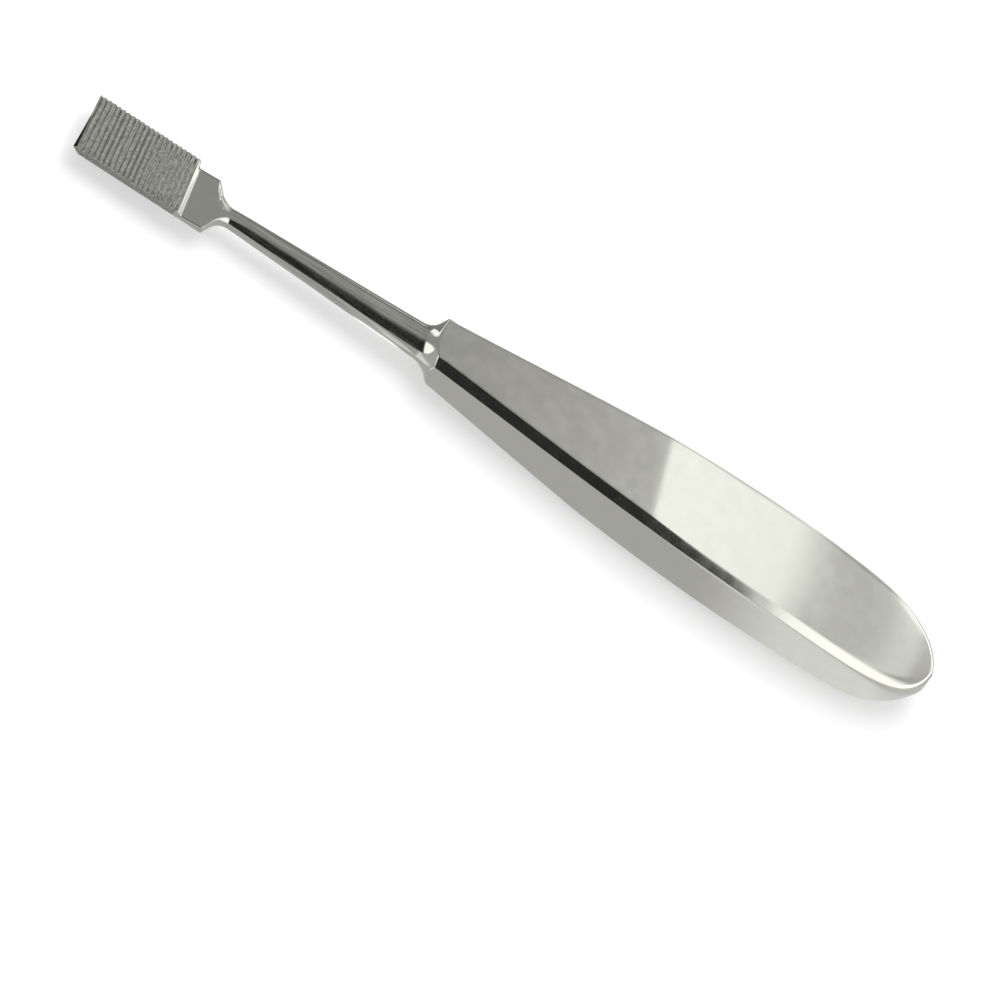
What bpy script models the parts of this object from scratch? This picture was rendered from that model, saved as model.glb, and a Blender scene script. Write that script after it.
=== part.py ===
"""Band setter: a one-piece forged steel hand tool that seats orthodontic bands.

A flattened palm handle runs through a turned shank into a flat pad with cross grooves. The tool lies on the flat of
its handle's underside. The origin is under the middle of its length, on the surface it lies on. X runs from the pad
to the butt, and Z is up. Lengths are in metres and angles in degrees.
"""

import math

import bmesh
import bpy

# Handle, seen from above
HANDLE_LENGTH = 0.0954
SHOULDER_WIDTH = 0.0080
SHOULDER_SPREAD = 0.089  # rise of the side for each metre behind the shoulder
HANDLE_WIDTH = 0.0166
WIDEST_TO_BUTT = 0.0340
BUTT_FULLNESS = 4.2  # 2 is an ellipse, and a larger value is squarer
BUTT_END_WIDTH = 0.0008

# Handle, seen from the side
HANDLE_THICKNESS = 0.0114
SHOULDER_THICKNESS = 0.0077
UPPER_WEDGE_LENGTH = 0.0392
LOWER_WEDGE_LENGTH = 0.0320
UPPER_DOME_LENGTH = 0.0325
LOWER_DOME_LENGTH = 0.0130
UPPER_DOME_FULLNESS = 2.0
LOWER_DOME_FULLNESS = 1.5  # a low value leaves the flat underside at a clear corner
BUTT_END_THICKNESS = 0.0022
BUTT_END_RISE = 0.0006
CHAMFER = 0.00133
FLAT_WAIST = 0.00005  # how far the long sides of the flat underside bend in from straight

# Shank, measured along its own axis
REACH = 0.0640  # from the pad's end to the shoulder
SHANK_DROP = 1.7  # the shank leans this much towards the surface at the pad
SHANK_HEIGHT = 0.0057  # of its axis at the shoulder
SHANK_NECK_DIAMETER = 0.0030
SHANK_SHOULDER_DIAMETER = 0.0053
SHOULDER_FILLET = 0.0039
NECK_FILLET = 0.0039

# Pad and neck, heights measured from the shank's axis
PAD_WIDTH = 0.00965
PAD_LENGTH = 0.01785
PAD_TOP = 0.00133
PAD_UNDERSIDE = -0.00035
PAD_END_HEIGHT = 0.0009
PAD_BEVEL_LENGTH = 0.0017
STEP_LENGTH = 0.00085
NECK_WIDTH = 0.00905
NECK_TOP = 0.00068
NECK_UNDERSIDE = -0.00055
NECK_LENGTH = 0.00825  # from the pad to the end of the fillet
FLAT_RUNOUT = 0.0028  # from there to where the ground flats leave the round shank
GROOVE_PITCH = 0.00085
GROOVE_DEPTH = 0.00032

# Fineness of the curved surfaces
TURNED_STEPS = 48
FILLET_STEPS = 7
FRONT_SECTIONS = 14
REAR_SECTIONS = 26

CUT_MARGIN = 0.0010  # how far a cutter stands out past what it cuts
WELD_DISTANCE = 0.000001
SMOOTH_ANGLE = math.radians(25)
STEEL_COLOUR = (0.60, 0.60, 0.57, 1.0)
STEEL_ROUGHNESS = 0.28

# Places that follow from the sizes
DROP = math.radians(SHANK_DROP)
MID_HEIGHT = HANDLE_THICKNESS / 2
FRONT_REACH = REACH * math.cos(DROP) + PAD_TOP * math.sin(DROP)
SHOULDER_X = (FRONT_REACH - HANDLE_LENGTH) / 2
BUTT_X = SHOULDER_X + HANDLE_LENGTH
WIDEST_X = BUTT_X - WIDEST_TO_BUTT
FLAT_START_X = SHOULDER_X + LOWER_WEDGE_LENGTH
FLAT_END_X = BUTT_X - LOWER_DOME_LENGTH
FILLET_END = PAD_LENGTH + NECK_LENGTH
RUNOUT_END = FILLET_END + FLAT_RUNOUT
GROOVE_COUNT = int(PAD_LENGTH / GROOVE_PITCH + 0.1)
SLEEVE_LENGTH = (REACH - RUNOUT_END) * 0.85
BLANK_RADIUS = HANDLE_WIDTH / 2 + HANDLE_THICKNESS


def clear_scene():
    for old in list(bpy.data.objects):
        bpy.data.objects.remove(old, do_unlink=True)


def new_collection(name, hidden):
    collection = bpy.data.collections.new(name)
    collection.hide_render = hidden
    bpy.context.scene.collection.children.link(collection)
    return collection


def new_object(name, data, collection, parent=None):
    placed = bpy.data.objects.new(name, data)
    placed.parent = parent
    collection.objects.link(placed)
    return placed


def as_cutter(cutter):
    cutter.hide_render = True
    cutter.display_type = "WIRE"
    return cutter


def add_boolean(target, operation, other):
    modifier = target.modifiers.new(f"{operation.lower()} {other.name}", "BOOLEAN")
    modifier.operation = operation
    modifier.solver = "EXACT"
    modifier.object = other


def ease(start, slope, end, share):
    """A cubic from start, leaving with slope per unit of share, to end, where it arrives level."""
    toward = share * share * (3 - 2 * share)
    leaving = share * (1 - share) ** 2
    return start + (end - start) * toward + slope * leaving


def round_off(share, fullness):
    """Falls from 1 to 0 as share goes from 0 to 1, level at first and upright at the end."""
    return math.sqrt(max(0.0, 1 - max(0.0, share) ** fullness))


def half_width(x):
    """Half the handle's width at x. In front of the shoulder it stays as it is there."""
    if x <= SHOULDER_X:
        return SHOULDER_WIDTH / 2
    if x >= WIDEST_X:
        end = BUTT_END_WIDTH / 2
        return end + (HANDLE_WIDTH / 2 - end) * round_off((x - WIDEST_X) / WIDEST_TO_BUTT, BUTT_FULLNESS)
    run = WIDEST_X - SHOULDER_X
    return ease(SHOULDER_WIDTH / 2, SHOULDER_SPREAD * run, HANDLE_WIDTH / 2, (x - SHOULDER_X) / run)


def half_thickness(x, wedge_length, dome_length, fullness, end):
    """Height of the upper or lower face from the middle: a wedge, a level stretch and a dome down to the butt."""
    wedge = min(1.0, max(0.0, (x - SHOULDER_X) / wedge_length))
    level = (SHOULDER_THICKNESS + (HANDLE_THICKNESS - SHOULDER_THICKNESS) * wedge) / 2
    dome = (x - (BUTT_X - dome_length)) / dome_length
    return end + (level - end) * round_off(dome, fullness)


def lower_inset(x, side, chamfer):
    """How far the underside's edge lies in from the side. The flat part of it has nearly straight edges."""
    if not FLAT_START_X < x < FLAT_END_X:
        return chamfer
    share = (x - FLAT_START_X) / (FLAT_END_X - FLAT_START_X)
    edge = half_width(FLAT_START_X) + (half_width(FLAT_END_X) - half_width(FLAT_START_X)) * share - CHAMFER
    return side - edge + 4 * FLAT_WAIST * share * (1 - share)


def handle_section(x):
    """The eight corners of the handle's section at x, a rectangle with its corners taken off."""
    side = half_width(x)
    upper_end = BUTT_END_THICKNESS / 2 + BUTT_END_RISE
    lower_end = BUTT_END_THICKNESS / 2 - BUTT_END_RISE
    upper = half_thickness(x, UPPER_WEDGE_LENGTH, UPPER_DOME_LENGTH, UPPER_DOME_FULLNESS, upper_end)
    lower = half_thickness(x, LOWER_WEDGE_LENGTH, LOWER_DOME_LENGTH, LOWER_DOME_FULLNESS, lower_end)
    chamfer = min(CHAMFER, side * 0.45, (upper + lower) * 0.35)
    inset = lower_inset(x, side, chamfer)
    upper += MID_HEIGHT
    lower = MID_HEIGHT - lower
    right = [
        (side - inset, lower),
        (side, lower + chamfer),
        (side, upper - chamfer),
        (side - chamfer, upper),
    ]
    left = [(-y, z) for y, z in reversed(right)]
    return [(x, y, z) for y, z in right + left]


def handle_stations():
    """Places of the handle's sections: even to the widest place, then closer and closer towards the butt."""
    front = [SHOULDER_X + (WIDEST_X - SHOULDER_X) * i / FRONT_SECTIONS for i in range(FRONT_SECTIONS)]
    rear = [WIDEST_X + WIDEST_TO_BUTT * math.sin(math.pi / 2 * i / REAR_SECTIONS) for i in range(REAR_SECTIONS + 1)]
    corners = [SHOULDER_X + UPPER_WEDGE_LENGTH, FLAT_START_X, FLAT_END_X]
    kept = [x for x in front + rear if min(abs(x - corner) for corner in corners) > CUT_MARGIN]
    return sorted([SHOULDER_X - SLEEVE_LENGTH] + kept + corners)


def loft(name, sections, collection):
    """A closed mesh through rings of points that all run the same way round, capped at both ends."""
    shape = bmesh.new()
    rings = [[shape.verts.new(point) for point in section] for section in sections]
    for ring, following in zip(rings, rings[1:]):
        for i, vertex in enumerate(ring):
            after = (i + 1) % len(ring)
            shape.faces.new((vertex, ring[after], following[after], following[i]))
    shape.faces.new(rings[0])
    shape.faces.new(rings[-1])
    bmesh.ops.recalc_face_normals(shape, faces=shape.faces)
    mesh = bpy.data.meshes.new(name)
    shape.to_mesh(mesh)
    shape.free()
    return new_object(name, mesh, collection)


def extruded_outline(name, points, depth, collection):
    """A flat outline in the XZ plane, made solid to half the depth on each side of it."""
    curve = bpy.data.curves.new(name, "CURVE")
    curve.dimensions = "2D"
    curve.fill_mode = "BOTH"
    curve.extrude = depth / 2
    spline = curve.splines.new("POLY")
    spline.points.add(len(points) - 1)
    for spline_point, (x, z) in zip(spline.points, points):
        spline_point.co = (x, z, 0, 1)
    spline.use_cyclic_u = True
    drawn = new_object(name + "_outline", curve, collection)
    drawn.rotation_euler = (math.pi / 2, 0, 0)
    bpy.context.view_layer.update()
    graph = bpy.context.evaluated_depsgraph_get()
    mesh = bpy.data.meshes.new_from_object(drawn.evaluated_get(graph))
    mesh.transform(drawn.matrix_world)
    bpy.data.objects.remove(drawn, do_unlink=True)
    shape = bmesh.new()
    shape.from_mesh(mesh)
    bmesh.ops.remove_doubles(shape, verts=shape.verts, dist=WELD_DISTANCE)
    bmesh.ops.recalc_face_normals(shape, faces=shape.faces)
    shape.to_mesh(mesh)
    shape.free()
    return new_object(name, mesh, collection)


def shank_radius(distance):
    """Radius of the tapered shank at a distance from the pad's end."""
    share = (distance - FILLET_END) / (REACH - SHOULDER_FILLET - FILLET_END)
    return (SHANK_NECK_DIAMETER + (SHANK_SHOULDER_DIAMETER - SHANK_NECK_DIAMETER) * share) / 2


def fillet(distance, radius, towards, top):
    """Points of a round that leaves the shank at a distance and rises to top, or to its own radius if that is less.

    It goes towards +1, the shoulder, or -1, the pad.
    """
    foot = shank_radius(distance)
    sweep = math.acos(max(0.0, 1 - (top - foot) / radius))
    angles = [sweep * i / FILLET_STEPS for i in range(FILLET_STEPS + 1)]
    return [(distance + towards * radius * math.sin(a), foot + radius * (1 - math.cos(a))) for a in angles]


def turned_blank(collection, parent):
    """What the lathe leaves: the shank and its fillets, between two ends wider than the rest of the tool."""
    neck = fillet(FILLET_END, NECK_FILLET, -1, NECK_WIDTH / 2)
    shoulder = fillet(REACH - SHOULDER_FILLET, SHOULDER_FILLET, 1, BLANK_RADIUS)
    front = -CUT_MARGIN
    back = REACH + HANDLE_LENGTH + CUT_MARGIN
    step = PAD_LENGTH + STEP_LENGTH / 2
    side = [(front, 0), (front, BLANK_RADIUS), (step, BLANK_RADIUS), (step, NECK_WIDTH / 2)]
    side += list(reversed(neck)) + shoulder
    side += [(shoulder[-1][0], BLANK_RADIUS), (back, BLANK_RADIUS), (back, 0)]
    mesh = bpy.data.meshes.new("turned_blank")
    points = [(radius, 0, distance - REACH) for distance, radius in reversed(side)]
    mesh.from_pydata(points, [(i, i + 1) for i in range(len(points) - 1)], [])
    blank = as_cutter(new_object("turned_blank", mesh, collection, parent))
    blank.rotation_euler = (0, math.pi / 2, 0)
    screw = blank.modifiers.new("turn", "SCREW")
    screw.axis = "Z"
    screw.steps = TURNED_STEPS
    screw.render_steps = TURNED_STEPS
    screw.use_merge_vertices = True
    screw.merge_threshold = WELD_DISTANCE
    return blank


def blade_blank(collection, parent):
    """The side view of the pad and neck, as wide as the pad. Its flats rise and fall until the round shank is inside."""
    step_foot = PAD_LENGTH + STEP_LENGTH
    shank_end = shank_radius(RUNOUT_END) + SHANK_NECK_DIAMETER * 0.02
    sleeve_end = REACH - SLEEVE_LENGTH + CUT_MARGIN
    sleeve = SHOULDER_THICKNESS / 2
    outline = [
        (0, PAD_TOP),
        (PAD_LENGTH, PAD_TOP),
        (step_foot, NECK_TOP),
        (RUNOUT_END, shank_end),
        (RUNOUT_END, sleeve),
        (sleeve_end, sleeve),
        (sleeve_end, -sleeve),
        (RUNOUT_END, -sleeve),
        (RUNOUT_END, -shank_end),
        (FILLET_END - NECK_FILLET, NECK_UNDERSIDE),
        (PAD_LENGTH, PAD_UNDERSIDE),
        (PAD_BEVEL_LENGTH, PAD_UNDERSIDE),
        (0, PAD_TOP - PAD_END_HEIGHT),
    ]
    outline = [(x - REACH, z) for x, z in outline]
    blade = as_cutter(extruded_outline("blade_blank", outline, PAD_WIDTH, collection))
    blade.parent = parent
    return blade


def groove_cutters(collection, parent):
    """Square bars on edge across the pad, one for each groove."""
    shape = bmesh.new()
    length = PAD_WIDTH + 2 * CUT_MARGIN
    bmesh.ops.create_cone(
        shape, cap_ends=True, segments=4, radius1=GROOVE_DEPTH, radius2=GROOVE_DEPTH, depth=length
    )
    mesh = bpy.data.meshes.new("groove_cutters")
    shape.to_mesh(mesh)
    shape.free()
    bars = as_cutter(new_object("groove_cutters", mesh, collection, parent))
    bars.rotation_euler = (math.pi / 2, 0, 0)
    bars.location = (GROOVE_PITCH / 2 - REACH, 0, PAD_TOP)
    row = bars.modifiers.new("row", "ARRAY")
    row.count = GROOVE_COUNT
    row.use_relative_offset = False
    row.use_constant_offset = True
    row.constant_offset_displace = (GROOVE_PITCH, 0, 0)
    return bars


def steel():
    material = bpy.data.materials.new("satin_steel")
    material.use_nodes = True
    shader = material.node_tree.nodes["Principled BSDF"]
    shader.inputs["Base Color"].default_value = STEEL_COLOUR
    shader.inputs["Metallic"].default_value = 1.0
    shader.inputs["Roughness"].default_value = STEEL_ROUGHNESS
    return material


def bake(target):
    """Replaces the object's mesh by what its modifiers make of it, shaded smooth but for its corners."""
    bpy.context.view_layer.update()
    graph = bpy.context.evaluated_depsgraph_get()
    mesh = bpy.data.meshes.new_from_object(target.evaluated_get(graph))
    target.modifiers.clear()
    target.data = mesh
    mesh.name = target.name
    mesh.shade_smooth()
    mesh.set_sharp_from_angle(angle=SMOOTH_ANGLE)


def main():
    clear_scene()
    parts = new_collection("band_setter", hidden=False)
    cutters = new_collection("cutters", hidden=True)

    axis = new_object("shank_axis", None, cutters)
    axis.location = (SHOULDER_X, 0, SHANK_HEIGHT)
    axis.rotation_euler = (0, -DROP, 0)

    body = loft("setter_body", [handle_section(x) for x in handle_stations()], parts)
    add_boolean(body, "UNION", blade_blank(cutters, axis))
    add_boolean(body, "INTERSECT", turned_blank(cutters, axis))
    add_boolean(body, "DIFFERENCE", groove_cutters(cutters, axis))
    bake(body)
    body.data.materials.clear()
    body.data.materials.append(steel())


main()
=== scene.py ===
"""Looks of a one-piece steel band setter lying on a pale studio floor.

The whole tool is one closed surface, a grid of two parameters: the way along the tool and the way round its section.
Every section is the meeting of a few simple bounds (a turned surface, side, top and underside faces, chamfers), blended
where they meet as polishing leaves them. Lengths inside the classes are in millimetres: s along the tool from the
pad's end, t behind the shoulder, y across with the far side positive, and z up from the shank's axis. The meshes are in
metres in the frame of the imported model.
"""

import logging
import math
from dataclasses import dataclass, field
from enum import Enum

import bpy
import numpy as np
from mathutils import Matrix, Vector


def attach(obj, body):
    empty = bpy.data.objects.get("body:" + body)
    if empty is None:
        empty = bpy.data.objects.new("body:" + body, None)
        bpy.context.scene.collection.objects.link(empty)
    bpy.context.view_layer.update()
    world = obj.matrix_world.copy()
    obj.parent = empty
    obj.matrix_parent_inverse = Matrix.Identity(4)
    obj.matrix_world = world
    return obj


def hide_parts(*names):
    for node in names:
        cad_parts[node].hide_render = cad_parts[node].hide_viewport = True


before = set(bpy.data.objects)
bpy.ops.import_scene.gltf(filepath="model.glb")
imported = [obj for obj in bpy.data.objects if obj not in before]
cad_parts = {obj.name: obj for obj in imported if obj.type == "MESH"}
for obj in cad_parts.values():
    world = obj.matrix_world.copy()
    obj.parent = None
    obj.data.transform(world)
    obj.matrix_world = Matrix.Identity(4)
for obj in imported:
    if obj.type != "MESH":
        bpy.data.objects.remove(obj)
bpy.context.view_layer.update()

Socket = bpy.types.NodeSocket

LOG = logging.getLogger("band_setter")
MM = 0.001
FAR_AWAY = 40.0  # millimetres, more than any size across the tool
SLOPE_STEP = 0.01  # millimetres to each side, over which a slope is measured
HALVINGS = 34  # of a ray's length, which bring it well under a thousandth of a millimetre


def smooth_step(low: float, high: float, value: np.ndarray) -> np.ndarray:
    """Rise from 0 at low to 1 at high with level ends, t * t * (3 - 2 t).

    Args:
        low: Where the rise starts.
        high: Where it ends.
        value: Places to work it out at.

    Returns:
        The height of the rise at each place.
    """
    share = np.clip((value - low) / (high - low), 0.0, 1.0)
    return share * share * (3 - 2 * share)


def meet(first: np.ndarray, second: np.ndarray, blend: np.ndarray | float) -> np.ndarray:
    """Meeting of two solids given by their signed distances, with the edge between them rounded.

    It is the larger distance, plus (blend - difference) squared over 4 blend where the two differ by less than blend.

    Args:
        first: Signed distance to the first surface, negative inside.
        second: Signed distance to the second.
        blend: Width of the rounded edge.

    Returns:
        Signed distance to the meeting of the two.
    """
    near = np.maximum(blend - np.abs(first - second), 0.0)
    return np.maximum(first, second) + near * near / (4 * blend)


@dataclass
class GroovedPad:
    """The working end: a flat plate with grooves across its upper face, ground by hand a little askew."""

    width: float = 9.65
    sideways: float = 0.15
    length: float = 17.85
    top: float = 1.33
    underside: float = -0.35
    bevel_length: float = 1.25
    end_height: float = 0.45
    end_jut: float = 0.42
    jut_side: tuple[float, float] = (2.0, -4.7)
    jut_fades: tuple[float, float] = (0.1, 2.0)
    end_skew: float = 0.20
    skew_fades: tuple[float, float] = (0.0, 9.0)
    step_skew_grows: tuple[float, float] = (9.0, 17.0)
    step_skew_fades: tuple[float, float] = (18.6, 21.0)
    step_length: float = 0.85
    corner_chamfer: float = 0.04
    groove_pitch: float = 0.85
    groove_depth: float = 0.32
    groove_count: int = 21
    crest_round: float = 0.05
    place_wander: tuple[float, float] = (0.007, 0.004)
    depth_wander: tuple[float, float] = (0.10, 0.08)
    wear: float = 0.5
    wear_along: tuple[float, float] = (9.0, 15.0)
    wear_spares_far: tuple[float, float] = (2.6, 4.4)
    wear_halves_near: tuple[float, float] = (-2.5, -4.5)

    def grooves(self, s: np.ndarray, y: np.ndarray) -> np.ndarray:
        """Depth of the grooves: a row of V shapes whose depth and place wander a little, as files leave them.

        Each V is its depth less the distance from its middle, with the crest rounded by the smooth maximum of that and
        nothing. Place and depth wander by sines of the groove's number and of y, and worn grooves are less deep.

        Args:
            s: Place along the pad.
            y: Place across it.

        Returns:
            How far the surface lies under the crests.
        """
        number = np.clip(np.floor(s / self.groove_pitch), 0, self.groove_count - 1)
        steady, rippled = self.place_wander
        moved = steady * np.sin(number * 2.4 + 0.6) + rippled * np.sin(y * 0.9 + number * 1.7)
        middle = (number + 0.5) * self.groove_pitch + moved
        steady, rippled = self.depth_wander
        share = 1 + steady * np.sin(number * 5.1 + 1.0) + rippled * np.sin(y * 1.3 + number * 2.3)
        far = 1 - smooth_step(*self.wear_spares_far, y)
        near = 1 - 0.5 * smooth_step(*self.wear_halves_near, y)
        worn = smooth_step(*self.wear_along, s) * far * near
        depth = self.groove_depth * share * (1 - self.wear * worn)
        flank = depth - np.abs(s - middle)
        rounded = 0.5 * (flank + np.sqrt(flank * flank + self.crest_round**2)) - 0.15 * self.crest_round
        return np.clip(rounded, 0.0, self.groove_depth * 1.1)

    def stations(self) -> np.ndarray:
        """Places of sections along the pad, at shares of the pitch from each groove's middle.

        Returns:
            The places in order.
        """
        shares = np.array([-0.5, -0.43, -0.385, -0.34, -0.2, -0.06, 0.0, 0.06, 0.2, 0.34, 0.385, 0.43])
        middles = (np.arange(self.groove_count) + 0.5) * self.groove_pitch
        rows = (middles[:, None] + shares[None, :] * self.groove_pitch).ravel()
        end_edge = np.array([0.0, 0.01, 0.03, 0.06])
        return np.concatenate([end_edge, rows[rows > 0.08]])


@dataclass
class GroundNeck:
    """The flat between the pad and the shank, and the slope and round that narrow it, a little askew."""

    width: float = 9.05
    top: float = 0.68
    underside: float = -0.55
    length: float = 8.0
    fillet: float = 3.0
    fillet_slope: float = 58.0
    corner_blend: float = 0.35
    runout: float = 3.4
    sideways: float = -0.12
    sideways_fades: tuple[float, float] = (20.0, 30.0)
    shear_across: float = 0.04
    shear_up: float = 0.3
    shear_fades: tuple[float, float] = (26.0, 32.0)
    far_blend: float = 0.7
    near_blend: float = 0.15
    far_roll: float = 1.0
    far_roll_fades: tuple[float, float] = (25.0, 29.0)


@dataclass
class TurnedShank:
    """The tapered round stem and the fillet that flares into the handle."""

    reach: float = 64.0
    drop: float = 1.7
    height: float = 5.7
    neck_diameter: float = 3.0
    shoulder_diameter: float = 5.3
    fillet: float = 3.9
    shear_across: float = 0.15
    shear_up: float = 0.31
    shear_grows: tuple[float, float] = (55.0, 60.0)
    bend_fades: tuple[float, float] = (46.0, 60.0)


@dataclass
class PalmHandle:
    """The flattened handle: a wedge in both views, a level stretch and a domed butt, with long chamfers."""

    length: float = 95.4
    shoulder_width: float = 8.0
    shoulder_spread: float = 0.089
    width: float = 16.6
    widest_to_butt: float = 34.0
    butt_fullness: float = 4.2
    butt_end_width: float = 0.8
    thickness: float = 11.4
    shoulder_thickness: float = 7.7
    upper_wedge: float = 39.2
    wedge_yaw: float = 0.13
    lower_wedge: float = 32.0
    upper_dome: float = 32.5
    upper_fullness: float = 2.0
    lower_dome: float = 13.0
    lower_fullness: float = 1.5
    wedge_yaw_fades: tuple[float, float] = (45.0, 60.0)
    wedge_ease: float = 0.02
    crown: float = 0.15
    crown_grows: tuple[float, float] = (62.0, 84.0)
    butt_end_thickness: float = 2.2
    butt_end_rise: float = 0.6
    chamfer: float = 1.33
    far_chamfer: float = 0.25
    far_chamfer_doubles: tuple[float, float] = (66.0, 76.0)
    far_chamfer_redoubles: tuple[float, float] = (82.0, 92.0)
    low_chamfer_halves: tuple[float, float] = (80.0, 88.0)

    def half_width(self, t: np.ndarray) -> np.ndarray:
        """Half the width, a cubic that spreads to the widest place and a full ellipse on to the butt.

        The ellipse is the end's half width plus the rest times the root of 1 less the share to the power of fullness.

        Args:
            t: Place behind the shoulder.

        Returns:
            Half the handle's width there.
        """
        run = self.length - self.widest_to_butt
        share = np.clip(t / run, 0.0, 1.0)
        start = self.shoulder_width / 2
        spread = start + (self.width / 2 - start) * share * share * (3 - 2 * share)
        spread = spread + self.shoulder_spread * run * share * (1 - share) ** 2
        far = np.clip((t - run) / self.widest_to_butt, 0.0, 1.0)
        end = self.butt_end_width / 2
        butt = end + (self.width / 2 - end) * np.sqrt(1 - far**self.butt_fullness)
        return np.where(t < run, spread, butt)

    def half_thickness(self, t: np.ndarray, wedge: float, dome: float, fullness: float, end: float) -> np.ndarray:
        """Height of one face from the middle: a wedge that eases into a level stretch, then a dome down to the butt.

        The wedge and the level meet in a hyperbola. The dome is the root of 1 less the share to the power of fullness.

        Args:
            t: Place behind the shoulder.
            wedge: Length of the wedge.
            dome: Length of the dome.
            fullness: Power of the dome's curve, 2 for an ellipse.
            end: Height at the butt.

        Returns:
            The height of the face.
        """
        share = 1 - t / wedge
        rise = np.minimum(1 - 0.5 * (share + np.sqrt(share * share + self.wedge_ease**2)), 1.0)
        level = (self.shoulder_thickness + (self.thickness - self.shoulder_thickness) * rise) / 2
        fall = np.clip((t - (self.length - dome)) / dome, 0.0, 1.0)
        return end + (level - end) * np.sqrt(1 - fall**fullness)

    def upper(self, t: np.ndarray) -> np.ndarray:
        """Height of the top face."""
        end = self.butt_end_thickness / 2 + self.butt_end_rise
        return self.half_thickness(t, self.upper_wedge, self.upper_dome, self.upper_fullness, end)

    def lower(self, t: np.ndarray) -> np.ndarray:
        """Depth of the underside."""
        end = self.butt_end_thickness / 2 - self.butt_end_rise
        return self.half_thickness(np.maximum(t, 0.0), self.lower_wedge, self.lower_dome, self.lower_fullness, end)


class Corner(Enum):
    """The eight corners of a section in the order that the grid passes them.

    Each holds its number, its side (1 is far), its height (1 is up) and how many columns lead on to the next corner.
    """

    FAR_LOW_SIDE = (0, 1, -1, 16)
    FAR_HIGH_SIDE = (1, 1, 1, 8)
    FAR_TOP = (2, 1, 1, 26)
    NEAR_TOP = (3, -1, 1, 8)
    NEAR_HIGH_SIDE = (4, -1, 1, 16)
    NEAR_LOW_SIDE = (5, -1, -1, 8)
    NEAR_UNDER = (6, -1, -1, 16)
    FAR_UNDER = (7, 1, -1, 8)

    @property
    def side(self) -> int:
        """1 on the far side and -1 on the near side."""
        return self.value[1]

    @property
    def height(self) -> int:
        """1 above the middle and -1 below it."""
        return self.value[2]

    @property
    def columns(self) -> int:
        """How many columns of the grid lead on to the next corner."""
        return self.value[3]


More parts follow.
